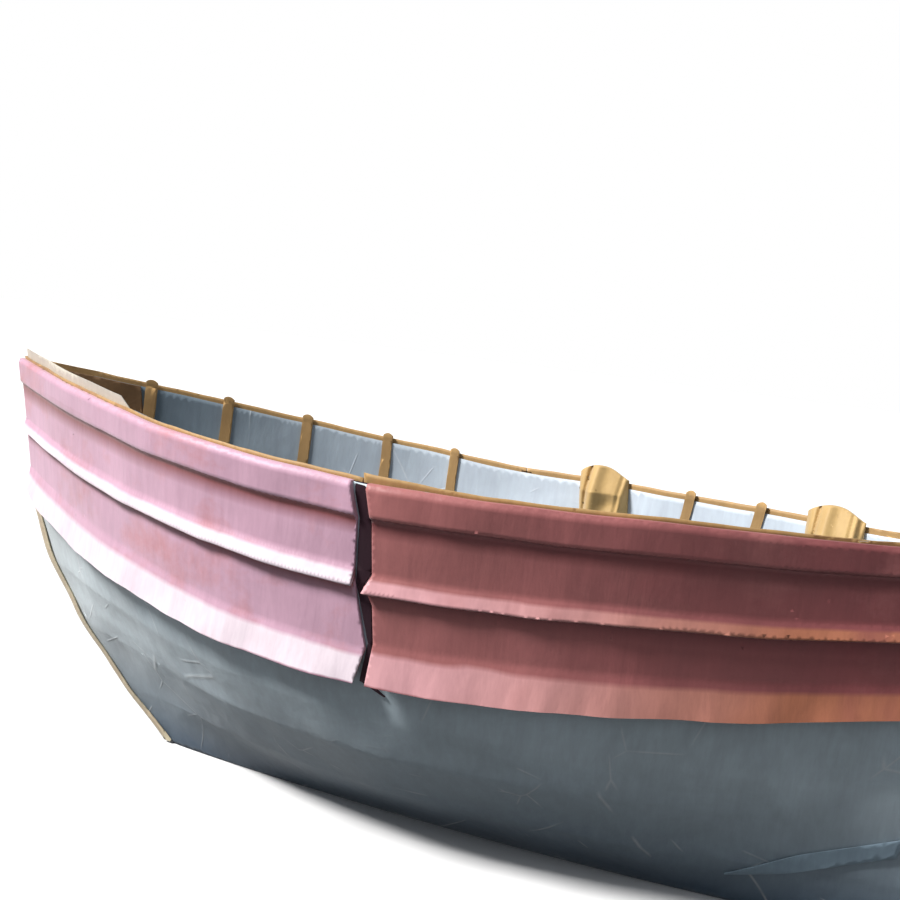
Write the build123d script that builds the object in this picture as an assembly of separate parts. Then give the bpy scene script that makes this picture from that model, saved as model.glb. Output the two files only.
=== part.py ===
from build123d import *
import math
import os

# Handmade folded paper rowing boat. Millimetres, +Z up, +X towards the stern,
# port side is -Y. Origin: on the resting plane, under the middle of the length, on the centre line.

# overall sizes
LENGTH = 300.0            # stem head to stern head
HALF_BEAM = 54.5          # centre line to the hull skin at the gunwale, amidships
BOW_HEIGHT = 105.0        # stem head above the flat bottom
WAIST_HEIGHT = 90.8       # lowest point of the gunwale
STERN_HEIGHT = 93.5       # stern head above the flat bottom
WAIST_AT = 0.50           # where the gunwale is lowest, as a share of the length
BOTTOM_HALF = 11.0        # half the width of the flat bottom amidships
BOW_RAKE = 69.5           # how far the foot of the stem lies behind its head
BOW_BOW = 14.0            # extra sweep of the stem, half way up
STERN_RAKE = 16.0         # the same two at the stern
STERN_BOW = 4.0
BEAM_FULLNESS = 1.18      # 1 is a sine curve, less is a fuller waterline
BEAM_SHIFT = 0.87         # less than 1 moves the widest place forward

# paper
HULL_PAPER = 0.8          # hull sheet, several layers pasted
BAND_PAPER = 0.6          # band along the side, double paper
LINING_PAPER = 0.35
TRIM_PAPER = 0.5          # ribs, gunwale strips, bindings
PASTE = 0.1               # clear space between two pasted sheets
STEM_SLIT = 0.5           # space between the two side walls at stem and stern

# band along the side, across the band: shares of its width from the gunwale down
HEM_END = 0.175
RIDGE_SLOPE = 0.09        # width of the ridge's sloping face
RIDGE_TUCK = 0.023        # how far the sheet tucks up under the ridge
FORWARD_RIDGE = 0.503     # lower edge of the ridge on the forward length, and on the aft one
AFT_RIDGE = 0.535
BOW_FLARE = 0.755         # where the lower edge starts to flare: at the stem, at the joint
JOINT_FLARE = 0.83
AFT_FLARE = 0.795         # and along the aft length
BOW_CORNER = 0.07         # rounding of the band's lower corner at the stem
HEM_OUT = 2.0             # how far each fold stands off the hull
STRAKE_OUT = 1.0
RIDGE_OUT = 3.0
FLARE_OUT = 3.9
JOINT_AT = 0.495          # where forward and aft lengths meet, share of the length
JOINT_GAP = 3.5           # open width between them
# how far the end of each length stands aft of a straight cut: (share across the band, mm)
FORWARD_EDGE = ((0.0, -0.5), (HEM_END, 0.9), (0.5, -0.9), (0.81, 1.7), (1.0, -1.4))
AFT_EDGE = ((0.0, 0.3), (HEM_END, 1.3), (0.43, 1.2), (0.52, -2.0), (0.6, 0.4), (0.8, 0.2), (1.0, -1.4))
JOINT_CLEAR = 0.5         # from the dark strip to the ends of the two lengths
TIP_DROP = 0.3            # the strip's pointed tip: shares of a panel below the band,
TIP_BACK = 3.2            # and how far it leans aft
BAND_BOW_DEPTH = 0.602    # height of the band's lower edge as a share of the side's height:
BAND_WAIST_DEPTH = 0.48   # at the stem, amidships and at the stern
BAND_STERN_DEPTH = 0.62

# inside the boat
GUNWALE_RISE = 1.2        # gunwale strip above the band's top
GUNWALE_LIFT = 1.3        # how much higher its aft length starts, behind the joint
GUNWALE_DEEP = 5.0
LINING_DROP = 1.6         # lining's top below the top of the gunwale strip
LINING_SHOW = 1.9         # how much higher the port lining is forward
RIB_WIDTH = 3.0
RIB_PITCH = 23.8          # about one pitch from each rib or pad to the next
RIBS_AT = (1.43, 2.31, 3.28, 4.34, 5.26, 8.53, 9.45)   # in pitches behind the stem head
PADS_AT = (7.35, 10.34)
RIB_TIP = 1.3             # starboard rib's tip above the gunwale strip
RIB_SHORT = 0.8           # port rib's tip below the top of the gunwale strip
PAD_WIDTH = 16.0
PAD_RISE = 5.2            # top of the pad above the hull's edge
PAD_PUFF = 5.0            # how far the folded pad bulges inwards
PAD_DEEP = 20.0
APRON_CLEAR = 1.9         # from the brown panel inside the bow to the first rib
FLAP_AT = 2.96            # aft end of the pale flap on the port gunwale, in rib pitches
FLAP_SLANT = 0.08         # share of its length cut away by its slanted end
FLAP_RISE = 3.8
BINDING_LAP = 2.2         # how far the stem binding laps each side
BILGE_START = 0.784       # paper fold strip pasted on the after bilge
BILGE_END = 0.94
BILGE_HALF = 0.17         # half its width, as a share of one panel of the side

PORT = -1
STARBOARD = 1


# hull shape -----------------------------------------------------------------

def sheer_height(s):
    if s < WAIST_AT:
        return WAIST_HEIGHT + (BOW_HEIGHT - WAIST_HEIGHT) * (1 - s / WAIST_AT) ** 1.32
    rise = (s - WAIST_AT) / (1 - WAIST_AT)
    return WAIST_HEIGHT + (STERN_HEIGHT - WAIST_HEIGHT) * rise ** 2


def stem_half():
    return STEM_SLIT / 2 + HULL_PAPER


def sheer_breadth(s):
    swell = max(0.0, math.sin(math.pi * s ** BEAM_SHIFT)) ** BEAM_FULLNESS
    return stem_half() + (HALF_BEAM - stem_half()) * swell


def bottom_breadth(s):
    return stem_half() + (BOTTOM_HALF - stem_half()) * max(0.0, math.sin(math.pi * s)) ** 0.8


def end_curve(t, rake, bow):
    return rake * (1 - t) ** 2.5 + bow * t * (1 - t)


def along(s, share):
    """Distance aft of the middle for a share of the length, at a share of the height."""
    fore = end_curve(share, BOW_RAKE, BOW_BOW) - LENGTH / 2
    aft = LENGTH / 2 - end_curve(share, STERN_RAKE, STERN_BOW)
    return fore + s * (aft - fore)


def band_depth(s):
    if s < 0.5:
        return BAND_WAIST_DEPTH + (BAND_BOW_DEPTH - BAND_WAIST_DEPTH) * (1 - 2 * s) ** 2
    return BAND_WAIST_DEPTH + (BAND_STERN_DEPTH - BAND_WAIST_DEPTH) * (2 * s - 1) ** 2


def fold_shares(s):
    """Folds of one side from the gunwale to the bottom: share of breadth, share of height."""
    full = max(0.0, math.sin(math.pi * s)) ** 0.7
    edge = band_depth(s)
    waist = [(1.0, 1.0), (0.91, edge), (0.83, 0.78 * edge), (0.69, 0.54 * edge), (0.42, 0.27 * edge),
             (0.0, 0.0)]
    ends = [(1.0, 1.0), (0.90, edge), (0.66, 0.72 * edge), (0.42, 0.45 * edge), (0.19, 0.2 * edge),
            (0.0, 0.0)]
    return [(e[0] + (w[0] - e[0]) * full, e[1] + (w[1] - e[1]) * full) for w, e in zip(waist, ends)]


def fold_points(s):
    """The same folds as (x, y, z) on the port side, ending on the centre line."""
    high = sheer_height(s)
    low = bottom_breadth(s)
    wide = sheer_breadth(s)
    points = []
    for share_y, share_z in fold_shares(s):
        points.append((along(s, share_z), low + (wide - low) * share_y, high * share_z))
    points.append((along(s, 0.0), 0.0, 0.0))
    return points


def mitres(points):
    """Outward direction at each fold, long enough to keep a sheet's thickness round it."""
    normals = []
    for a, b in zip(points, points[1:]):
        dy, dz = b[1] - a[1], b[2] - a[2]
        size = math.hypot(dy, dz)
        normals.append((-dz / size, dy / size))
    result = [normals[0]]
    for m, n in zip(normals, normals[1:]):
        y, z = m[0] + n[0], m[1] + n[1]
        scale = 2 / (y * y + z * z)
        result.append((y * scale, z * scale))
    result.append(normals[-1])
    return result


def on_side(s, v, off, up=0.0, side=PORT):
    """Point at share s of the length, v folds down from the gunwale, off outside the hull."""
    points = fold_points(s)
    outward = mitres(points)
    i = min(max(int(math.floor(v)), 0), len(points) - 2)
    ends = []
    for p, m in zip(points[i:i + 2], outward[i:i + 2]):
        ends.append(Vector(p[0], side * (p[1] + m[0] * off), p[2] + m[1] * off))
    run = ends[1] - ends[0]
    return ends[0] + run * (v - i) - run.normalized() * up


def band_width(s):
    a, b = fold_points(s)[:2]
    return math.hypot(b[1] - a[1], b[2] - a[2])


# building folded sheets ---------------------------------------------------------

def stations(start, end, count):
    """Shares of the length from start to end, closer together near the boat's ends."""
    a, b = (math.acos(1 - 2 * q) for q in (start, end))
    return [(1 - math.cos(a + (b - a) * k / count)) / 2 for k in range(count + 1)]


def curve(points):
    if len(points) == 2:
        return Edge.make_line(points[0], points[1])
    steps = len(points) - 1
    return Edge.make_spline(points, parameters=[k / steps for k in range(steps + 1)])


def panel(a, b):
    """Face between two folds: a plane where both lie level, otherwise ruled from one to the other."""
    heights = [p.Z for edge in (a, b) for p in (edge @ 0, edge @ 0.5, edge @ 1)]
    if max(heights) - min(heights) > 1e-6:
        return Face.make_surface_from_curves(a, b)
    return Face(Wire([a, Edge.make_line(a @ 1, b @ 1), b, Edge.make_line(b @ 0, a @ 0)]))


def sheet(outer, inner):
    """Solid between two faces of a folded sheet. Each is a list of stations of fold points."""
    folds = len(outer[0])
    skins = [[curve([row[i] for row in face]) for i in range(folds)] for face in (outer, inner)]
    faces = []
    for skin in skins:
        faces += [panel(a, b) for a, b in zip(skin, skin[1:])]
    for i in (0, folds - 1):
        faces.append(Face.make_surface_from_curves(skins[0][i], skins[1][i]))
    for k in (0, -1):
        for i in range(folds - 1):
            a = Edge.make_line(outer[k][i], outer[k][i + 1])
            b = Edge.make_line(inner[k][i], inner[k][i + 1])
            faces.append(Face.make_surface_from_curves(a, b))
    solid = Solid(Shell(faces))
    if solid.volume < 0:
        solid = Solid(solid.wrapped.Reversed())
    return solid


def side_strip(section, where, side):
    """Strip along one side. section(s) lists (v, up, outer offset, inner offset) per fold."""
    outer = []
    inner = []
    for s in where:
        folds = section(s)
        outer.append([on_side(s, v, a, up, side) for v, up, a, b in folds])
        inner.append([on_side(s, v, b, up, side) for v, up, a, b in folds])
    return sheet(outer, inner)


def save(shape, name):
    shape.label = name
    export_step(shape, os.path.join("parts", name + ".step"))


# pieces ---------------------------------------------------------------------------

def hull():
    outer = []
    inner = []
    for s in stations(0, 1, 18):
        for face, off in ((outer, 0.0), (inner, -HULL_PAPER)):
            port = [on_side(s, v, off) for v in range(6)]
            other = [Vector(p.X, -p.Y, p.Z) for p in reversed(port)]
            face.append(port + other)
    return sheet(outer, inner)


def flare_start(s):
    if s < JOINT_AT:
        return BOW_FLARE + (JOINT_FLARE - BOW_FLARE) * s / JOINT_AT
    return AFT_FLARE


def band_outside(s, ridge):
    """Outer face across the band: share of its width, distance off the hull."""
    edge = 0.995 - BOW_CORNER * max(0.0, 1 - s / 0.03) ** 2
    return [
        (0.0, HEM_OUT - 0.7),
        (0.02, HEM_OUT),
        (HEM_END - 0.02, HEM_OUT),
        (HEM_END, STRAKE_OUT),
        (ridge - RIDGE_SLOPE, STRAKE_OUT),
        (ridge, RIDGE_OUT),
        (ridge + 0.008, RIDGE_OUT - 0.5),
        (ridge - RIDGE_TUCK, STRAKE_OUT),
        (ridge + 0.065, STRAKE_OUT),
        (flare_start(s), STRAKE_OUT),
        (edge, FLARE_OUT),
    ]


def band_inside(outside, ridge):
    """Inner face: flat on the hull down to the flare, then standing off with it."""
    flat = [(v, PASTE) for v, off in outside[:5]]
    flat += [(ridge - RIDGE_SLOPE + 0.015 * k, PASTE) for k in (1, 2, 3)]
    below, flare, edge = outside[-3:]
    flat += [(below[0], PASTE), (flare[0], PASTE)]
    return flat + [(edge[0] - 0.01, FLARE_OUT - BAND_PAPER)]


def edge_shift(edge, v):
    """Distance aft at share v across the band, from the nearest two points of an end's outline."""
    for (v0, a), (v1, b) in zip(edge, edge[1:]):
        if v <= v1:
            return a + (b - a) * (v - v0) / (v1 - v0)
    return edge[-1][1]


def band(start, end, ridge, side):
    """One length of the side band: rolled hem, two strakes, a ridge and a flared lower edge."""
    outer = []
    inner = []
    forward = start < JOINT_AT
    edge = FORWARD_EDGE if forward else AFT_EDGE
    for s in stations(start, end, 12):
        way = (s - start) / (end - start) if forward else (end - s) / (end - start)
        outside = band_outside(s, ridge)
        for skin, folds in ((outer, outside), (inner, band_inside(outside, ridge))):
            skin.append([on_side(s + edge_shift(edge, v) * way / LENGTH, v, off, 0.0, side)
                         for v, off in folds])
    return sheet(outer, inner)


def joint_strip(side):
    """Dark strip in the gap between the two lengths of band, its lower end a leaning point."""
    folds = (0.01, HEM_END, 0.43, 0.5, 0.6, 0.8, 1.0)
    outer = []
    inner = []
    for way, edge in ((-1, FORWARD_EDGE), (1, AFT_EDGE)):
        half = way * (JOINT_GAP / 2 - JOINT_CLEAR)
        places = [(JOINT_AT + (half + edge_shift(edge, v)) / LENGTH, v) for v in folds]
        places.append((JOINT_AT + (TIP_BACK + 0.2 * way) / LENGTH, 1 + TIP_DROP))
        for skin, off in ((outer, PASTE + TRIM_PAPER), (inner, PASTE)):
            skin.append([on_side(s, v, off, 0.0, side) for s, v in places])
    return sheet(outer, inner)


def gunwale_strip(start, end, lift, side):
    def section(s):
        back = -HULL_PAPER - PASTE
        down = GUNWALE_DEEP / band_width(s)
        rise = GUNWALE_RISE + lift * max(0.0, 1 - (s - start) / 0.15) ** 2
        return [(0.0, rise, back, back - TRIM_PAPER), (down, 0.0, back, back - TRIM_PAPER)]

    return side_strip(section, stations(start, end, 10), side)


def lining(side):
    """Pale sheet inside one side, from just under the gunwale strip's top to the bilge."""
    back = -HULL_PAPER - PASTE - TRIM_PAPER - PASTE
    start = rib_place(FLAP_AT) + 0.002 if side == PORT else apron_end() * 0.6
    show = LINING_SHOW if side == PORT else 0.0

    def section(s):
        top = GUNWALE_RISE - LINING_DROP + show * max(0.0, 1 - (s / 0.6) ** 2)
        rows = [(0.0, top)] + [(v, 0.0) for v in (1, 2, 3, 4)]
        return [(v, up, back, back - LINING_PAPER) for v, up in rows]

    return side_strip(section, stations(start, 1 - apron_end() * 0.6, 14), side)


def rib_place(pitches):
    """Share of the length at a number of rib pitches behind the stem head."""
    return pitches * RIB_PITCH / LENGTH


def apron_end():
    return rib_place(RIBS_AT[0]) - (RIB_WIDTH / 2 + APRON_CLEAR) / LENGTH


def inside_face():
    return -HULL_PAPER - 3 * PASTE - TRIM_PAPER - LINING_PAPER


def rib(place, side):
    """Tan strip across the lining, its rounded tip standing over the gunwale."""
    middle = rib_place(place)
    half = RIB_WIDTH / 2 / LENGTH
    face = inside_face()
    reach = RIB_TIP if side == STARBOARD else -RIB_SHORT

    def section(s):
        tip = GUNWALE_RISE + reach * (1 - 0.6 * abs(s - middle) / half)
        rows = [(0.0, tip), (0.0, 0.0), (1, 0.0), (2, 0.0), (3, 0.0), (3.6, 0.0)]
        return [(v, up, face, face - TRIM_PAPER) for v, up in rows]

    return side_strip(section, [middle - half, middle, middle + half], side)


def pad(place, side):
    """Folded tan pad inside the gunwale: a puffed sheet, rounded at the top."""
    middle = rib_place(place)
    half = PAD_WIDTH / 2 / LENGTH
    face = inside_face()

    def section(s):
        t = (s - middle) / half
        puff = PAD_PUFF * max(0.0, 1 - t * t) ** 0.6 + TRIM_PAPER
        crown = PAD_RISE * (0.4 + 0.6 * max(0.0, 1 - (t + 0.1) ** 2))
        deep = PAD_DEEP / band_width(s)
        return [
            (0.0, crown, face, face - 0.35 * puff),
            (0.06, 0.0, face, face - puff),
            (0.6 * deep, 0.0, face, face - 0.9 * puff),
            (deep, 0.0, face, face - 0.4 * puff),
        ]

    where = [middle + half * t for t in (-1, -0.7, -0.35, 0, 0.35, 0.7, 1)]
    return side_strip(section, where, side)


def bow_apron():
    """Brown panel folded round the inside of the bow, over both walls."""
    face = inside_face()
    inner_end = apron_end() * 0.3
    outer = []
    inner = []
    for v in (0.01, 0.25, 0.5, 0.75, 1.0):
        for skin, off in ((outer, face), (inner, face - LINING_PAPER)):
            port = [on_side(q, v, off) for q in (apron_end(), inner_end)]
            skin.append(port + [Vector(p.X, -p.Y, p.Z) for p in reversed(port)])
    return sheet(outer, inner)


def bow_flap():
    """Pale flap standing over the port gunwale near the bow, cut off on a slant aft."""
    outer = []
    inner = []
    for s in stations(0.006, rib_place(FLAP_AT), 8):
        for face, depth in ((outer, 0.0), (inner, LINING_PAPER)):
            off = -HULL_PAPER - 2 * PASTE - TRIM_PAPER - depth
            short = s * (1 - FLAP_SLANT)
            face.append([on_side(short, 0.0, off, FLAP_RISE), on_side(s, 0.0, off, 0.0),
                         on_side(s, 0.3, off, 0.0), on_side(s, 1.0, off, 0.0)])
    return sheet(outer, inner)


def end_binding(stern):
    """Tan strip folded round the stem (or the stern) below the band."""
    s_end = 1.0 if stern else 0.0
    way = 1 if stern else -1
    outer = []
    inner = []
    levels = (1.04, 1.5, 2, 2.5, 3, 3.5, 4, 4.5, 4.9)
    for v in levels:
        for skin, off in ((outer, 3 * PASTE + TRIM_PAPER), (inner, 3 * PASTE)):
            edge = on_side(s_end, v, off)
            front = Vector(edge.X + way * off, edge.Y, edge.Z)
            lap = on_side(abs(s_end - BINDING_LAP / LENGTH), v, off)
            port = [lap, front]
            skin.append(port + [Vector(p.X, -p.Y, p.Z) for p in reversed(port)])
    return sheet(outer, inner)


def bilge_strip(side):
    """Pale folded strip rising along the after bilge, drawn out to a point forward."""
    lift = 3 * PASTE

    def section(s):
        way = (s - BILGE_START) / (BILGE_END - BILGE_START)
        half = BILGE_HALF * (0.05 + 0.95 * min(1.0, 2.5 * way))
        middle = 4.3 - way
        high, low = middle - half, middle + half
        fold = 4.0 if high < 4.0 < low else middle
        return [(v, 0.0, lift + LINING_PAPER, lift) for v in (high, fold, low)]

    return side_strip(section, stations(BILGE_START, BILGE_END, 8), side)


def main():
    os.makedirs("parts", exist_ok=True)
    gap = JOINT_GAP / 2 / LENGTH
    save(hull(), "hull")
    save(bow_apron(), "bow_apron")
    save(bow_flap(), "bow_flap_port")
    save(end_binding(False), "stem_binding")
    save(end_binding(True), "stern_binding")
    for side, word in ((PORT, "port"), (STARBOARD, "starboard")):
        save(band(0, JOINT_AT - gap, FORWARD_RIDGE, side), "band_forward_" + word)
        save(band(JOINT_AT + gap, 1, AFT_RIDGE, side), "band_aft_" + word)
        save(joint_strip(side), "joint_strip_" + word)
        save(gunwale_strip(0.002, JOINT_AT, 0.0, side), "gunwale_forward_" + word)
        lift = GUNWALE_LIFT if side == PORT else 0.0
        save(gunwale_strip(JOINT_AT + 0.001, 0.998, lift, side), "gunwale_aft_" + word)
        save(lining(side), "lining_" + word)
        save(bilge_strip(side), "bilge_strip_" + word)
        for number, place in enumerate(RIBS_AT, 1):
            save(rib(place, side), "rib_{}_{}".format(number, word))
    for number, place in enumerate(PADS_AT, 1):
        save(pad(place, STARBOARD), "pad_{}".format(number))


main()
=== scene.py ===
import math

import bmesh
import bpy
from bpy.props import FloatProperty, FloatVectorProperty, PointerProperty
from mathutils import Matrix, Vector, noise
from mathutils.bvhtree import BVHTree


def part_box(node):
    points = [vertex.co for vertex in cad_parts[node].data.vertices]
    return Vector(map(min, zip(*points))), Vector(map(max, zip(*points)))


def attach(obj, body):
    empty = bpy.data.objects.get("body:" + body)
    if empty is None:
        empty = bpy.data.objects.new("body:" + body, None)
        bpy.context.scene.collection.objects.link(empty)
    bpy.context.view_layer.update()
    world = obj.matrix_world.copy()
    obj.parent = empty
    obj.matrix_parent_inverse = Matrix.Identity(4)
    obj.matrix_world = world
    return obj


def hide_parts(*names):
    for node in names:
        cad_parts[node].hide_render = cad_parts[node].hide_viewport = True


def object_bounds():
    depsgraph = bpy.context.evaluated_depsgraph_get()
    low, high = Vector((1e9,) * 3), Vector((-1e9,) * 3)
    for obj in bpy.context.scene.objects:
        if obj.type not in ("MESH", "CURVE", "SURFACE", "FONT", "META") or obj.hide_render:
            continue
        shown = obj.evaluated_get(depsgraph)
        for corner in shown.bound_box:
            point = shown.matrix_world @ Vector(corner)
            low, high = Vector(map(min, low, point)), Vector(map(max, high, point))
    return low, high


bl_info = {
    "name": "Folded paper boat",
    "version": (1, 1, 0),
    "blender": (4, 5, 0),
    "location": "View3D > Sidebar > Paper boat",
    "description": "Papers, folds and studio for a folded paper rowing boat",
    "category": "Object",
}

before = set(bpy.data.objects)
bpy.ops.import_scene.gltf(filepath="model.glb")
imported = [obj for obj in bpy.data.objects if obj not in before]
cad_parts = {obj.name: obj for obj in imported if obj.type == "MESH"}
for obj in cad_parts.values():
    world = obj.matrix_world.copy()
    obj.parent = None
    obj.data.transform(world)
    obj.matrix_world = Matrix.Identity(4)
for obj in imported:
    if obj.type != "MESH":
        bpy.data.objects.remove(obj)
CAD_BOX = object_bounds()
MM = 0.001
BOW_X, STERN_X = CAD_BOX[0][0], CAD_BOX[1][0]
HULL_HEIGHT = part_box("hull")[1][2]
JOINT_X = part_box("joint_strip_port")[0][0]
WAVE_SEED = 7              # the slow waves start from this, or they would differ from run to run

# how the bands lie on the hull
PASTED = 0.9 * MM          # nearer the hull than this a band is pasted down
STAND_SPAN = 3 * MM        # over this much more it becomes free to flutter
FLARE_STANDS = 3.9 * MM    # how far the flare's edge stands off the hull
HEM_DEPTH = 4.4 * MM       # the rolled hem's depth below the gunwale strip
SHELTER_REACH = 5 * MM     # a fold shelters what lies this far below it
RAIL_REACH = 3.4 * MM      # what lies this near the gunwale strip belongs to the hem's top

# how the other pieces are shaped
RIB_LEAN = 0.16            # forward shift of a rib for each length down
RIB_LEAN_DEPTH = 30 * MM   # the lean stops this far down
SETTLED = 8 * MM           # above this height the slow waves have their full size
FLOOR_HALF = 12.0
FLOOR_GAP = 0.2 * MM


# sizes and colours ----------------------------------------------------------------

def colour_prop(name, description, default):
    return FloatVectorProperty(name=name, description=description, default=default,
                               subtype="COLOR", size=3, min=0.0, max=1.0)


def length_prop(name, description, millimetres):
    return FloatProperty(name=name, description=description, default=millimetres * MM, min=0.0,
                         unit="LENGTH", precision=4)


class BOAT_PG_papers(bpy.types.PropertyGroup):
    """Colours of the papers, painted light and shade among them."""
    hull: colour_prop("Hull", "Blue-grey hull sheet", (0.640, 0.770, 0.840))
    # Painted light: the hull paler near the stem, where the light falls on it.
    hull_bow_light: colour_prop("Hull, forward", "Paler hull near the stem", (0.860, 0.930, 0.940))
    # Painted shade: the hull dark blue near its bottom, where it turns under away from the light.
    hull_low_shade: colour_prop("Hull, low down", "Dark blue of the hull near its bottom",
                          (0.070, 0.115, 0.170))
    band_forward: colour_prop("Forward band", "Lilac-pink band paper", (0.700, 0.420, 0.550))
    band_salmon: colour_prop("Salmon patches", "Where the pink dye ran", (0.600, 0.230, 0.240))
    band_aft: colour_prop("Aft band", "Brownish-red band paper", (0.520, 0.185, 0.180))
    # Darker towards the stern: partly the paper's dye, partly painted shade where the band turns away
    # from the light.
    band_stern_dye_and_shade: colour_prop("Aft band, aft", "The same paper towards the stern", (0.270, 0.070, 0.075))
    # Painted highlights: the pale colours of the bands' ridges and flares, where they face the light;
    # darker towards the stern on the aft band.
    highlight_forward: colour_prop("Forward crests", "Rubbed pale ridge and flare", (0.900, 0.790, 0.860))
    highlight_aft: colour_prop("Aft crests", "Ridge and flare of the aft band, forward",
                           (0.760, 0.400, 0.430))
    highlight_stern: colour_prop("Aft crests, aft", "The same towards the stern", (0.440, 0.160, 0.085))
    # Painted shade: the dark colour along the flare's edge.
    rim: colour_prop("Rim", "Dark dye along the flare's edge", (0.220, 0.050, 0.110))
    # Painted shade under the hems and ridges of the bands.
    shade_under_forward: colour_prop("Under the forward folds", "Dye gathered under hem and ridge",
                               (0.250, 0.055, 0.055))
    shade_under_aft: colour_prop("Under the aft folds", "The same on the aft band", (0.110, 0.012, 0.016))
    binding: colour_prop("Bindings", "Pale tan paper round stem and stern", (0.600, 0.480, 0.330))
    # Painted shade: the joint strip's near-black stands for the red paper in deep shadow in the gap at
    # the joint.
    joint: colour_prop("Joint strip", "Dark strip behind the joint", (0.020, 0.003, 0.010))
    lining: colour_prop("Lining", "Pale blue lining", (0.640, 0.720, 0.800))
    # Painted shade: the lining slate blue near the bow, where the bow's walls shade it.
    lining_bow: colour_prop("Lining, forward", "Slate blue of the lining near the bow",
                            (0.120, 0.175, 0.220))
    tan: colour_prop("Tan", "Gunwale strips, ribs and bindings", (0.430, 0.260, 0.100))
    pad: colour_prop("Pads", "Golden folded pads", (0.640, 0.420, 0.160))
    brown: colour_prop("Brown", "Panel inside the bow", (0.200, 0.105, 0.040))
    pale: colour_prop("Pale", "Flap at the bow", (0.620, 0.560, 0.470))
    bilge: colour_prop("Bilge strips", "Pale strip on the after bilge", (0.260, 0.360, 0.440))


class BOAT_PG_folds(bpy.types.PropertyGroup):
    """How uneven the folded sheets are."""
    drift: length_prop("Drift", "Slow waves shared by all sheets", 0.9)
    flutter: length_prop("Flutter", "Waves in the ridge and the flared edge", 0.75)
    dents: length_prop("Dents", "Small dents in the hull and bands", 0.35)
    crease: length_prop("Creases", "Depth of the creases pressed into the hull", 0.45)
    finest: length_prop("Finest step", "Longest edge left in the sheets' meshes", 2.2)


class BOAT_PG_studio(bpy.types.PropertyGroup):
    """Camera and lights."""
    lens: FloatProperty(name="Lens", description="Focal length in millimetres", default=60.0, min=20.0)
    key: FloatProperty(name="Key light", description="Strength of the soft light from the bow side",
                       default=5.4, min=0.0)
    key_width: FloatProperty(name="Key width", description="How wide the soft light looks",
                             default=math.radians(14), subtype="ANGLE")
    air: FloatProperty(name="Air", description="Strength of the even light from above",
                       default=0.34, min=0.0)
    floor: colour_prop("Floor", "Pale floor", (0.90, 0.90, 0.905))


# papers -----------------------------------------------------------------------

class _Colour:
    """Lets any socket stand where a node with a Color output is wanted."""

    def __init__(self, socket):
        self.outputs = {"Color": socket, 0: socket}


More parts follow.
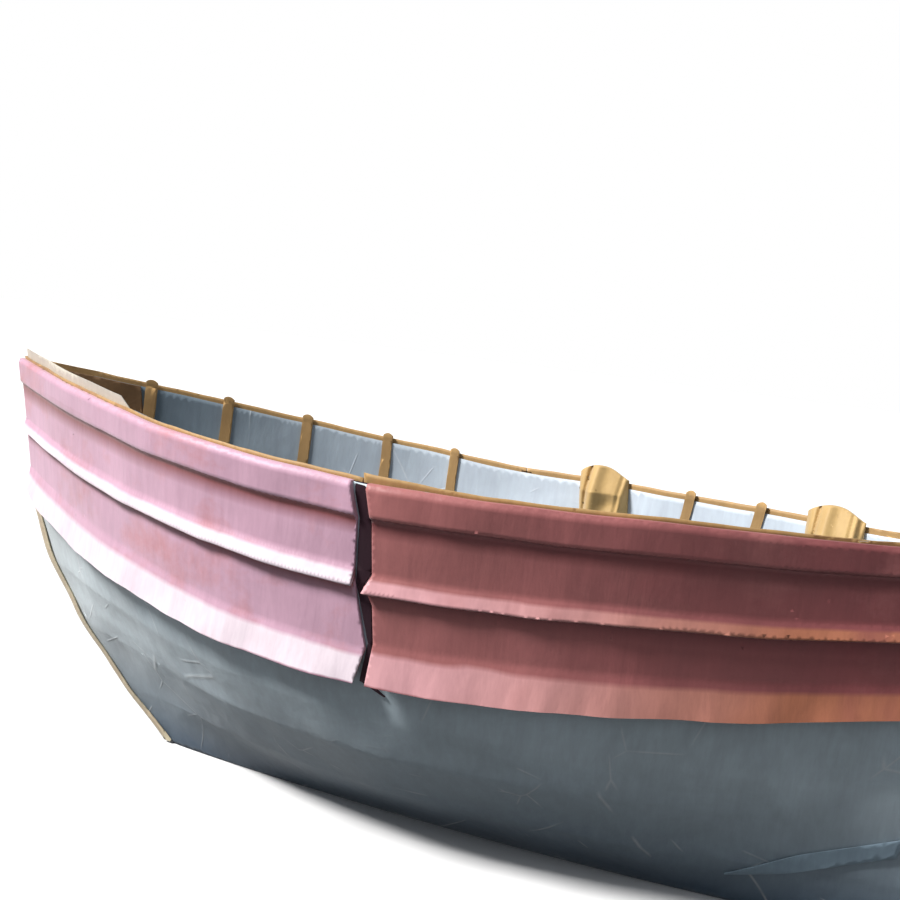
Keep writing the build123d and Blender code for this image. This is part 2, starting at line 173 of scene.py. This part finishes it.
class PaperNodes:
    """Puts a paper material together from named steps."""

    def __init__(self, name):
        self.material = bpy.data.materials.new(name)
        self.material.use_nodes = True
        self.tree = self.material.node_tree
        self.tree.nodes.clear()
        self.output = self.add("ShaderNodeOutputMaterial")
        self.shader = self.add("ShaderNodeBsdfPrincipled")
        self.link(self.shader, "BSDF", self.output, "Surface")
        self.place = self.add("ShaderNodeTexCoord")
        self.bump = None

    def add(self, kind, **values):
        """A new node with some of its settings."""
        node = self.tree.nodes.new(kind)
        for key, value in values.items():
            setattr(node, key, value)
        return node

    def link(self, source, out, target, into):
        self.tree.links.new(source.outputs[out], target.inputs[into])

    def noise(self, scale, stretch=(1, 1, 1), detail=4.0, rough=0.55, twist=0.0, turn=(0, 0, 0)):
        """Noise over the object's own place; scale counts features along a metre."""
        mapping = self.add("ShaderNodeMapping")
        mapping.inputs["Scale"].default_value = stretch
        mapping.inputs["Rotation"].default_value = turn
        self.link(self.place, "Object", mapping, "Vector")
        node = self.add("ShaderNodeTexNoise")
        node.inputs["Scale"].default_value = scale
        node.inputs["Detail"].default_value = detail
        node.inputs["Roughness"].default_value = rough
        node.inputs["Distortion"].default_value = twist
        self.link(mapping, "Vector", node, "Vector")
        return node

    def scratches(self, turn):
        """Short straight lines: pieces of the borders between large irregular cells."""
        mapping = self.add("ShaderNodeMapping")
        mapping.inputs["Rotation"].default_value = turn
        self.link(self.place, "Object", mapping, "Vector")
        net = self.add("ShaderNodeTexVoronoi", feature="DISTANCE_TO_EDGE")
        net.inputs["Scale"].default_value = 40.0
        self.link(mapping, "Vector", net, "Vector")
        line = self.ramp(net, "Distance", [(0.0, (1, 1, 1)), (0.014, (0, 0, 0))])
        gaps = self.mask(self.noise(50.0, detail=2.0, turn=turn), "Fac", 0.56, 0.62)
        return self.mix(line, gaps, 1.0, "MULTIPLY")

    def along(self, axis, start, end):
        """0 to 1 between two places on an axis, ragged by a little noise."""
        ragged = self.noise(26.0, detail=3.0)
        parts = self.add("ShaderNodeSeparateXYZ")
        self.link(self.place, "Object", parts, "Vector")
        drift = self.add("ShaderNodeMath", operation="MULTIPLY_ADD")
        self.link(ragged, "Fac", drift, 0)
        drift.inputs[1].default_value = 0.30 * (end - start)
        self.link(parts, axis, drift, 2)
        span = self.add("ShaderNodeMapRange")
        span.inputs["From Min"].default_value = start + 0.15 * (end - start)
        span.inputs["From Max"].default_value = end + 0.15 * (end - start)
        self.link(drift, "Value", span, "Value")
        return span

    def ramp(self, source, out, stops):
        """Colours by value: stops holds (place, colour)."""
        node = self.add("ShaderNodeValToRGB")
        while len(node.color_ramp.elements) > len(stops):
            node.color_ramp.elements.remove(node.color_ramp.elements[-1])
        while len(node.color_ramp.elements) < len(stops):
            node.color_ramp.elements.new(1.0)
        for element, (at, colour) in zip(node.color_ramp.elements, stops):
            element.position = at
            element.color = (*colour, 1.0)
        self.link(source, out, node, 0)
        return node

    def mask(self, source, out, low, high, top=1.0):
        """A grey ramp from nothing at low to top at high."""
        return self.ramp(source, out, [(low, (0, 0, 0)), (high, (top, top, top))])

    def mix(self, first, second, factor, blend="MIX"):
        """first is a node with a Color output, second that or a colour; factor a number or a node."""
        node = self.add("ShaderNodeMix", data_type="RGBA", blend_type=blend)
        self.tree.links.new(first.outputs["Color"], node.inputs[6])
        if isinstance(second, tuple):
            node.inputs[7].default_value = (*second, 1.0)
        else:
            self.tree.links.new(second.outputs["Color"], node.inputs[7])
        if isinstance(factor, (int, float)):
            node.inputs[0].default_value = factor
        else:
            self.tree.links.new(factor.outputs[0], node.inputs[0])
        return _Colour(node.outputs[2])

    def raise_bump(self, source, out, distance, strength):
        """Lays one more bump over those before it."""
        node = self.add("ShaderNodeBump")
        node.inputs["Distance"].default_value = distance
        node.inputs["Strength"].default_value = strength
        self.link(source, out, node, "Height")
        if self.bump:
            self.tree.links.new(self.bump.outputs["Normal"], node.inputs["Normal"])
        self.bump = node

    def finish(self, colour, roughness, sheen):
        """Joins colour, roughness and bumps to the shader and gives the material."""
        self.tree.links.new(colour.outputs["Color"], self.shader.inputs["Base Color"])
        self.tree.links.new(roughness.outputs[0], self.shader.inputs["Roughness"])
        if self.bump:
            self.tree.links.new(self.bump.outputs["Normal"], self.shader.inputs["Normal"])
        self.shader.inputs["Sheen Weight"].default_value = sheen
        self.shader.inputs["Sheen Roughness"].default_value = 0.5
        self.shader.inputs["Specular IOR Level"].default_value = 0.35
        return self.material


def scaled(colour, factor):
    """A colour made lighter or darker, at most full."""
    return tuple(min(1.0, c * factor) for c in colour)


def painted_fold_light_and_shade(m, shade, highlight, highlight_far, span, under, rim):
    """Painted light and shade on a band: a painted highlight on the crests, painted shade under the
    folds and along the rim.
    """
    standing = m.add("ShaderNodeAttribute", attribute_name="standing")
    shelter = m.add("ShaderNodeAttribute", attribute_name="shelter")
    near_end = m.add("ShaderNodeRGB")
    near_end.outputs[0].default_value = (*highlight, 1.0)
    top = m.mix(_Colour(near_end.outputs[0]), tuple(highlight_far), m.along(*span))
    # Painted highlight: pale where the band stands furthest off the hull (ridge and flare), broken
    # into patches by noise.
    highlight_patches = m.mask(m.noise(48.0, (1, 1, 0.4)), "Fac", 0.1, 0.45)
    wear_and_highlight = m.mix(m.mask(standing, "Fac", 0.37, 0.47, 0.95), highlight_patches, 1.0, "MULTIPLY")
    shade = m.mix(shade, top, wear_and_highlight)
    # Painted shade under the folds, from the shelter measured upwards.
    shade = m.mix(shade, tuple(under), m.mask(shelter, "Fac", 0.08, 0.80, 0.95))
    # Painted shade along the flare's rim.
    return m.mix(shade, tuple(rim), m.mask(standing, "Fac", 0.955, 1.0, 0.9))


def paper(name, colour, turns=(), blotch=0.2, patch=None, wear=0.35, wrinkle=0.35, creases=0.0,
          rough=(0.45, 0.7), sheen=0.15, fold_highlight_and_shade=None):
    """Dyed paper: base colour, blotches, dye patches, upright fibres, edge wear, painted shade in
    hollows, creases, bumps.

    turns holds (axis, start, end, colour): other colours that the paper turns to along an axis,
    painted light and shade among them.
    fold_highlight_and_shade holds the last arguments of painted_fold_light_and_shade, for the bands:
    their painted highlights and shade.
    """
    m = PaperNodes(name)
    dye = m.noise(34.0, (1.0, 1.0, 1.5), 5.0, 0.6, 0.4)
    near_end = m.add("ShaderNodeRGB")
    near_end.outputs[0].default_value = (*colour, 1.0)
    shade = _Colour(near_end.outputs[0])
    for axis, start, end, other in turns:
        shade = m.mix(shade, tuple(other), m.along(axis, start, end))
    blots = m.ramp(dye, "Fac", [(0.30, (1 - blotch,) * 3), (0.68, (1.0, 1.0, 1.0))])
    shade = m.mix(shade, blots, 1.0, "MULTIPLY")
    if patch:
        ran = m.noise(30.0, (1.0, 1.0, 1.3), 6.0, 0.68, 0.15)
        shade = m.mix(shade, tuple(patch), m.mask(ran, "Fac", 0.50, 0.68, 0.7))
    if fold_highlight_and_shade:
        shade = painted_fold_light_and_shade(m, shade, *fold_highlight_and_shade)
    fibres = m.noise(420.0, (1.0, 1.0, 0.12), 3.0, 0.7)
    flecks = m.ramp(fibres, "Fac", [(0.32, (0.84, 0.82, 0.84)), (0.68, (1.0, 1.0, 1.0))])
    shade = m.mix(shade, flecks, 0.7, "MULTIPLY")
    curved = m.add("ShaderNodeNewGeometry")
    wear_and_highlight = m.mask(curved, "Pointiness", 0.515, 0.60, wear)
    shade = m.mix(shade, scaled(colour, 1.9), wear_and_highlight)
    # Painted shade: hollows and concave folds darkened where pointiness is low.
    hollow_shade = m.ramp(curved, "Pointiness", [(0.40, (0.45, 0.40, 0.42)), (0.485, (1.0, 1.0, 1.0))])
    shade = m.mix(shade, hollow_shade, 0.8, "MULTIPLY")
    wrinkles = m.noise(95.0, (1.0, 1.0, 0.22), 5.0, 0.6, 0.3)
    dents = m.noise(40.0, (1.0, 1.0, 1.0), 4.0, 0.5, 0.8)
    m.raise_bump(dents, "Fac", 0.8 * MM, 0.45)
    m.raise_bump(wrinkles, "Fac", wrinkle * MM, 0.8)
    if creases:
        for turn in ((0.0, 0.9, 0.0), (0.0, -0.6, 0.2)):
            line = m.scratches(turn)
            pale = m.mix(shade, (1.0, 1.0, 1.0), creases)
            shade = m.mix(shade, pale, line)
            m.raise_bump(line, "Color", 0.12 * MM, 0.6)
    m.raise_bump(fibres, "Fac", 0.05 * MM, 0.6)
    gloss = m.add("ShaderNodeMapRange")
    gloss.inputs["To Min"].default_value = rough[0]
    gloss.inputs["To Max"].default_value = rough[1]
    m.link(dye, "Fac", gloss, "Value")
    return m.finish(shade, gloss, sheen)


# sheets -------------------------------------------------------------------------

def named(start):
    """CAD nodes whose name starts with one of these words."""
    found = sorted(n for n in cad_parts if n.startswith(start))
    if not found:
        raise RuntimeError("the frame has no node called {}".format(start))
    return found


def drift_at(p, size):
    """Slow waves, the same for every sheet that passes a place, so pasted sheets stay together."""
    slow = noise.noise_vector(p * 24.0)
    fine = noise.noise_vector(p * 55.0 + Vector((7.0, 3.0, 1.0)))
    move = Vector((0.4 * slow.x, slow.y, 0.55 * slow.z)) * size + fine * 0.28 * size
    settle = min(1.0, max(0.0, (p.z - CAD_BOX[0][2]) / SETTLED))
    return Vector((move.x, move.y, move.z * settle)) * (0.35 + 0.65 * settle)


def divided(name, longest):
    """The CAD node's mesh, welded, with its long triangles divided."""
    bm = bmesh.new()
    bm.from_mesh(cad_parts[name].data)
    bmesh.ops.remove_doubles(bm, verts=bm.verts, dist=0.001 * MM)
    for _ in range(7):
        long_edges = [e for e in bm.edges if e.calc_length() > longest]
        if not long_edges:
            break
        bmesh.ops.subdivide_edges(bm, edges=long_edges, cuts=1)
        bmesh.ops.triangulate(bm, faces=[f for f in bm.faces if len(f.verts) > 3])
    return bm


def surface(nodes):
    """Search tree over the CAD meshes of some nodes."""
    bm = bmesh.new()
    for name in nodes:
        bm.from_mesh(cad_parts[name].data)
    tree = BVHTree.FromBMesh(bm)
    bm.free()
    return tree


def mark_folds(bm, skin):
    """Marks each vertex of a band: how far it stands off the hull, and how sheltered it is; the bands'
    painted highlights and shade are read from these.
    """
    own = BVHTree.FromBMesh(bm)
    gunwale = surface(named("gunwale"))
    standing = bm.verts.layers.float.new("standing")
    shelter = bm.verts.layers.float.new("shelter")
    for vert in bm.verts:
        off = skin.find_nearest(vert.co)[3]
        below = gunwale.find_nearest(vert.co)[3]
        past_hem = min(1.0, max(0.0, (below - HEM_DEPTH) / MM))
        vert[standing] = off / FLARE_STANDS * (0.35 + 0.65 * past_hem)
        start = vert.co + outward(vert.co) * 0.25 * MM
        upwards = Vector((0.0, 0.0, 1.0)) + outward(vert.co) * 0.12
        roof = own.ray_cast(start, upwards, SHELTER_REACH)
        vert[shelter] = 1.0 - roof[3] / SHELTER_REACH if roof[0] else 0.0


def sheet_piece(name, material, shape=None, longest=None, sharp=32.0, skin=None):
    """New piece for a CAD node: its divided mesh after shape(point, normal), then the slow waves.

    Edges that turn by more than sharp degrees stay crisp. skin is given for the bands only.
    """
    folds = bpy.context.scene.boat_folds
    noise.seed_set(WAVE_SEED)
    bm = divided(name, longest or folds.finest)
    bm.normal_update()
    if skin:
        mark_folds(bm, skin)
    moved = []
    for vert in bm.verts:
        p = vert.co.copy()
        q = p + shape(p, vert.normal) if shape else p
        moved.append(q + drift_at(p, folds.drift))
    for vert, q in zip(bm.verts, moved):
        vert.co = q
    mesh = bpy.data.meshes.new(name + "_sheet")
    bm.to_mesh(mesh)
    bm.free()
    mesh.shade_smooth()
    mesh.set_sharp_from_angle(angle=math.radians(sharp))
    mesh.materials.append(material)
    piece = bpy.data.objects.new(name + "_sheet", mesh)
    bpy.context.collection.objects.link(piece)
    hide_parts(name)
    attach(piece, "root")
    return piece


def outward(p):
    """Away from the centre line, on the side where the point lies."""
    return Vector((0.0, math.copysign(1.0, p.y), 0.0))


# operators ------------------------------------------------------------------------

class BOAT_OT_hull(bpy.types.Operator):
    """Makes the hull's creased blue-grey sheet"""
    bl_idname = "boat.hull"
    bl_label = "Hull"

    def execute(self, context):
        papers = context.scene.boat_papers
        folds = context.scene.boat_folds
        # Painted light: the hull turns paler near the stem, where the light falls on it.
        turns = (("X", BOW_X + 75 * MM, BOW_X + 5 * MM, papers.hull_bow_light),
                 # Painted shade: dark blue low down, where the hull turns under.
                 ("Z", 34 * MM, 2 * MM, papers.hull_low_shade))
        blue = paper("hull_paper", papers.hull, turns, 0.28, wear=0.1, wrinkle=0.4, creases=0.30)

        def shape(p, normal):
            """Soft dents, and long creases running a little down towards the stern."""
            dent = noise.noise(p * 70.0) * folds.dents
            run = p.z + 0.16 * p.x
            line = noise.noise(Vector((p.x * 14.0, p.y * 2.0, run * 110.0)))
            crease = (0.5 - abs(line)) * folds.crease
            low = min(1.0, max(0.0, p.z / (10 * MM))) * min(1.0, (HULL_HEIGHT - p.z) / (20 * MM))
            return outward(p) * (dent + crease) * low * min(1.0, abs(p.y) / (6 * MM))

        sheet_piece("hull", blue, shape, sharp=50.0)
        strip = paper("bilge_paper", papers.bilge, blotch=0.15, wrinkle=0.25)
        for name in named("bilge"):
            sheet_piece(name, strip, shape)
        return {"FINISHED"}


class BOAT_OT_bands(bpy.types.Operator):
    """Makes the side bands and the strips behind their joints"""
    bl_idname = "boat.bands"
    bl_label = "Side bands"

    def execute(self, context):
        papers = context.scene.boat_papers
        folds = context.scene.boat_folds
        skin = surface(["hull"])
        rail = surface(named("gunwale"))

        def shape(p, normal):
            """The further a fold stands off the hull, the more it flutters."""
            standing = skin.find_nearest(p)[3]
            free = max(0.0, standing - PASTED) / STAND_SPAN
            flutter = noise.noise(Vector((p.x * 105.0, p.y * 20.0, p.z * 16.0))) * folds.flutter
            dent = noise.noise(p * 85.0 + Vector((3, 1, 4))) * folds.dents
            wave = noise.noise(Vector((p.x * 60.0, 5.0, p.z * 8.0))) * folds.flutter
            pleat = noise.noise(Vector((p.x * 330.0, 2.0, p.z * 22.0))) * folds.flutter * 0.2
            out = outward(p) * ((flutter + pleat) * free + dent * min(1.0, 0.3 + free))
            return out + Vector((0.0, 0.0, wave * 0.6 * free)) + self.rolled_top(p, normal, rail)

        span = ("X", JOINT_X + 20 * MM, JOINT_X + 100 * MM)
        pink = paper("forward_band_paper", papers.band_forward, blotch=0.12, patch=papers.band_salmon,
                     wear=0.0, rough=(0.38, 0.6), sheen=0.3,
                     fold_highlight_and_shade=(papers.highlight_forward, papers.highlight_forward, span, papers.shade_under_forward,
                                papers.rim))
        # The aft band darker towards the stern: partly dye, partly painted shade.
        sternwards = ("X", JOINT_X, JOINT_X + 110 * MM, papers.band_stern_dye_and_shade)
        # The aft band's rim takes its painted under-fold shade, a little lighter.
        red = paper("aft_band_paper", papers.band_aft, (sternwards,), 0.25,
                    patch=scaled(papers.band_aft, 0.75), wear=0.0, rough=(0.38, 0.6), sheen=0.2,
                    fold_highlight_and_shade=(papers.highlight_aft, papers.highlight_stern, span, papers.shade_under_aft,
                               scaled(papers.shade_under_aft, 1.5)))
        # The joint strips' near-black is painted shade for the gap at the joint.
        dark = paper("joint_paper", papers.joint, wear=0.0, rough=(0.85, 0.95), sheen=0.0)
        for names, material in (("band_forward", pink), ("band_aft", red)):
            for name in named(names):
                sheet_piece(name, material, shape, longest=1.3 * MM, skin=skin)
        for name in named("joint_strip"):
            sheet_piece(name, dark, lambda p, normal: self.rolled_top(p, normal, rail) * 2.0)
        return {"FINISHED"}

    def rolled_top(self, p, normal, rail):
        """Rolls the hem's top edge in over the hull's cut edge, up to the gunwale strip."""
        if normal.z < 0.4 or rail.find_nearest(p)[3] > RAIL_REACH:
            return Vector()
        inward = 0.9 if normal.dot(outward(p)) < 0 else 0.3
        return outward(p) * -inward * MM + Vector((0.0, 0.0, 0.35 * MM))


class BOAT_OT_inside(bpy.types.Operator):
    """Makes the lining, the flap and the panel inside the bow"""
    bl_idname = "boat.inside"
    bl_label = "Lining and panels"

    def execute(self, context):
        papers = context.scene.boat_papers
        # Painted shade: the lining dark slate near the bow, turning to its pale blue sternwards.
        sternwards = ("X", BOW_X + 30 * MM, BOW_X + 150 * MM, papers.lining)
        lining = paper("lining_paper", papers.lining_bow, (sternwards,), 0.15, wear=0.1, wrinkle=0.3,
                       creases=0.16)
        pale = paper("pale_paper", papers.pale, blotch=0.08)
        brown = paper("brown_paper", papers.brown, blotch=0.3)

        def shape(p, normal):
            lift = noise.noise(p * 60.0 + Vector((9, 2, 5))) * 0.45 * MM
            return outward(p) * -max(0.0, lift)

        for name in named("lining"):
            sheet_piece(name, lining, shape)
        for name in named("bow_flap"):
            sheet_piece(name, pale)
        for name in named("bow_apron"):
            sheet_piece(name, brown, shape)
        return {"FINISHED"}


class BOAT_OT_trim(bpy.types.Operator):
    """Makes the tan gunwale strips, ribs and bindings"""
    bl_idname = "boat.trim"
    bl_label = "Tan trim"

    def execute(self, context):
        papers = context.scene.boat_papers
        tan = paper("tan_paper", papers.tan, blotch=0.22, wear=0.6, wrinkle=0.2)

        def shape(p, normal):
            shift = noise.noise_vector(p * 130.0) * 0.22 * MM
            return Vector((shift.x, shift.y * 0.3, shift.z))

        for name in named("gunwale"):
            sheet_piece(name, tan, shape, longest=1.5 * MM)
        for name in named("rib"):
            self.rib(name, tan, shape)
        pale = paper("binding_paper", papers.binding, blotch=0.2, wear=0.5, wrinkle=0.2)
        for name in named(("stem_binding", "stern_binding")):
            sheet_piece(name, pale, shape, longest=1.5 * MM)
        return {"FINISHED"}

    def rib(self, name, tan, shape):
        """A rib leans: its lower part lies a little further forward, against the wall all the way."""
        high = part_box(name)[1][2]
        side = name.rsplit("_", 1)[1]
        walls = surface(["lining_" + side, "hull"])

        def leaning(p, normal):
            forward = -RIB_LEAN * min(high - p.z, RIB_LEAN_DEPTH)
            here = walls.ray_cast(Vector((p.x, 0.0, p.z)), outward(p))[0]
            there = walls.ray_cast(Vector((p.x + forward, 0.0, p.z)), outward(p))[0]
            slide = there.y - here.y if here and there else 0.0
            return Vector((forward, slide, 0.0)) + shape(p, normal)

        sheet_piece(name, tan, leaning, longest=1.5 * MM)


class BOAT_OT_pads(bpy.types.Operator):
    """Makes the puffed golden pads with their pressed folds"""
    bl_idname = "boat.pads"
    bl_label = "Pads"

    def execute(self, context):
        golden = paper("pad_paper", context.scene.boat_papers.pad, blotch=0.3, wear=0.0, wrinkle=0.4,
                       sheen=0.3)
        for name in named("pad_"):
            low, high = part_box(name)
            self.pad(name, golden, low, high)
        return {"FINISHED"}

    def pad(self, name, golden, low, high):
        """Upright folds: a strip at the forward edge, a broad roll, a dent, and narrow pleats aft."""
        wide = high[0] - low[0]
        tall = high[2] - low[2]

        def shape(p, normal):
            u = (p.x - low[0]) / wide
            w = (high[2] - p.z) / tall
            bend = u + 0.10 * w
            strip = 1.0 * MM * math.exp(-((bend - 0.10) / 0.06) ** 2)
            slit = -1.8 * MM * math.exp(-((bend - 0.22) / 0.035) ** 2)
            roll = 2.4 * MM * math.exp(-((bend - 0.38) / 0.12) ** 2)
            dent = -1.0 * MM * math.exp(-((u - 0.62) / 0.14) ** 2 - ((w - 0.42) / 0.10) ** 2)
            curl = bend + 0.18 * (w - 0.3) ** 2
            pleats = 0.4 * MM * math.sin(curl * 45.0) * min(1.0, max(0.0, (curl - 0.74) / 0.08))
            inward = max(0.0, -normal.y)
            return Vector((0.0, -1.0, 0.0)) * (strip + slit + roll + dent + pleats) * inward

        sheet_piece(name, golden, shape, longest=0.6 * MM, sharp=60.0)


class BOAT_OT_stage(bpy.types.Operator):
    """Makes the floor, the soft lights and the camera"""
    bl_idname = "boat.stage"
    bl_label = "Studio"

    def execute(self, context):
        studio = context.scene.boat_studio
        context.scene.view_settings.view_transform = "Standard"
        self.floor(studio)
        self.key(context, studio)
        self.air(context, studio)
        self.camera(context, studio)
        return {"FINISHED"}

    def floor(self, studio):
        half = FLOOR_HALF
        low = CAD_BOX[0][2] - FLOOR_GAP
        mesh = bpy.data.meshes.new("floor")
        corners = [(-half, -half, low), (half, -half, low), (half, half, low), (-half, half, low)]
        mesh.from_pydata(corners, [], [(0, 1, 2, 3)])
        floor = bpy.data.objects.new("floor", mesh)
        floor.visible_diffuse = False
        bpy.context.collection.objects.link(floor)
        m = PaperNodes("floor_card")
        grain = m.noise(30.0)
        tone = tuple(studio.floor)
        shade = m.ramp(grain, "Fac", [(0.3, scaled(tone, 0.99)), (0.7, tone)])
        gloss = m.add("ShaderNodeMapRange")
        gloss.inputs["To Min"].default_value = 0.85
        gloss.inputs["To Max"].default_value = 0.95
        m.link(grain, "Fac", gloss, "Value")
        mesh.materials.append(m.finish(shade, gloss, 0.0))

    def key(self, context, studio):
        """A broad soft light from ahead and a little to port."""
        data = bpy.data.lights.new("key", "SUN")
        data.energy = studio.key
        data.angle = studio.key_width
        data.color = (1.0, 0.985, 0.965)
        light = bpy.data.objects.new("key", data)
        towards = Vector((1.0, 0.68, -1.12))
        light.rotation_euler = towards.to_track_quat("-Z", "Y").to_euler()
        context.collection.objects.link(light)

    def air(self, context, studio):
        """Dim even light, stronger from above, and a white backdrop behind the object."""
        world = bpy.data.worlds.new("studio_air")
        world.use_nodes = True
        tree = world.node_tree
        back = tree.nodes["Background"]
        back.inputs["Color"].default_value = (0.95, 0.97, 1.0, 1.0)
        way = tree.nodes.new("ShaderNodeTexCoord")
        parts = tree.nodes.new("ShaderNodeSeparateXYZ")
        tree.links.new(way.outputs["Generated"], parts.inputs[0])
        dome = tree.nodes.new("ShaderNodeMapRange")
        dome.inputs["From Min"].default_value = -0.6
        dome.inputs["From Max"].default_value = 0.5
        dome.inputs["To Min"].default_value = 0.15 * studio.air
        dome.inputs["To Max"].default_value = studio.air
        tree.links.new(parts.outputs["Z"], dome.inputs["Value"])
        tree.links.new(dome.outputs["Result"], back.inputs["Strength"])
        white = tree.nodes.new("ShaderNodeBackground")
        white.inputs["Color"].default_value = (1.0, 1.0, 1.0, 1.0)
        white.inputs["Strength"].default_value = 1.0
        seen = tree.nodes.new("ShaderNodeLightPath")
        mixer = tree.nodes.new("ShaderNodeMixShader")
        tree.links.new(seen.outputs["Is Camera Ray"], mixer.inputs[0])
        tree.links.new(back.outputs[0], mixer.inputs[1])
        tree.links.new(white.outputs[0], mixer.inputs[2])
        tree.links.new(mixer.outputs[0], tree.nodes["World Output"].inputs["Surface"])
        context.scene.world = world

    def camera(self, context, studio):
        """Looks from port, a little ahead of the stern, down at a shallow angle."""
        place = Vector((160.4, -367.6, 126.4)) * MM
        turn, dip, lean = (math.radians(a) for a in (24.09, 4.08, 7.07))
        level = math.cos(dip)
        ahead = Vector((-math.sin(turn) * level, math.cos(turn) * level, -math.sin(dip)))
        right = Vector((math.cos(turn), math.sin(turn), 0.0))
        up = right.cross(ahead)
        leaned_right = right * math.cos(lean) + up * math.sin(lean)
        leaned_up = up * math.cos(lean) - right * math.sin(lean)
        data = bpy.data.cameras.new("camera")
        data.lens = studio.lens
        data.sensor_width = 36.0
        data.clip_start = 0.01
        camera = bpy.data.objects.new("camera", data)
        axes = Matrix((leaned_right, leaned_up, -ahead)).transposed().to_4x4()
        camera.matrix_world = Matrix.Translation(place) @ axes
        context.collection.objects.link(camera)
        context.scene.camera = camera


OPERATORS = (BOAT_OT_hull, BOAT_OT_bands, BOAT_OT_inside, BOAT_OT_trim, BOAT_OT_pads, BOAT_OT_stage)


class BOAT_PT_panel(bpy.types.Panel):
    """Lists the boat's operators in the sidebar."""
    bl_label = "Paper boat"
    bl_idname = "BOAT_PT_panel"
    bl_space_type = "VIEW_3D"
    bl_region_type = "UI"
    bl_category = "Paper boat"

    def draw(self, context):
        scene = context.scene
        for operator in OPERATORS:
            self.layout.operator(operator.bl_idname)
        for group in (scene.boat_papers, scene.boat_folds, scene.boat_studio):
            for key in group.bl_rna.properties.keys():
                if key not in ("rna_type", "name"):
                    self.layout.prop(group, key)


CLASSES = (BOAT_PG_papers, BOAT_PG_folds, BOAT_PG_studio, BOAT_PT_panel) + OPERATORS


def register():
    for cls in CLASSES:
        bpy.utils.register_class(cls)
    bpy.types.Scene.boat_papers = PointerProperty(type=BOAT_PG_papers)
    bpy.types.Scene.boat_folds = PointerProperty(type=BOAT_PG_folds)
    bpy.types.Scene.boat_studio = PointerProperty(type=BOAT_PG_studio)


def unregister():
    del bpy.types.Scene.boat_studio
    del bpy.types.Scene.boat_folds
    del bpy.types.Scene.boat_papers
    for cls in reversed(CLASSES):
        bpy.utils.unregister_class(cls)


def main():
    register()
    bpy.ops.boat.hull()
    bpy.ops.boat.bands()
    bpy.ops.boat.inside()
    bpy.ops.boat.trim()
    bpy.ops.boat.pads()
    bpy.ops.boat.stage()


if __name__ == "__main__":
    main()
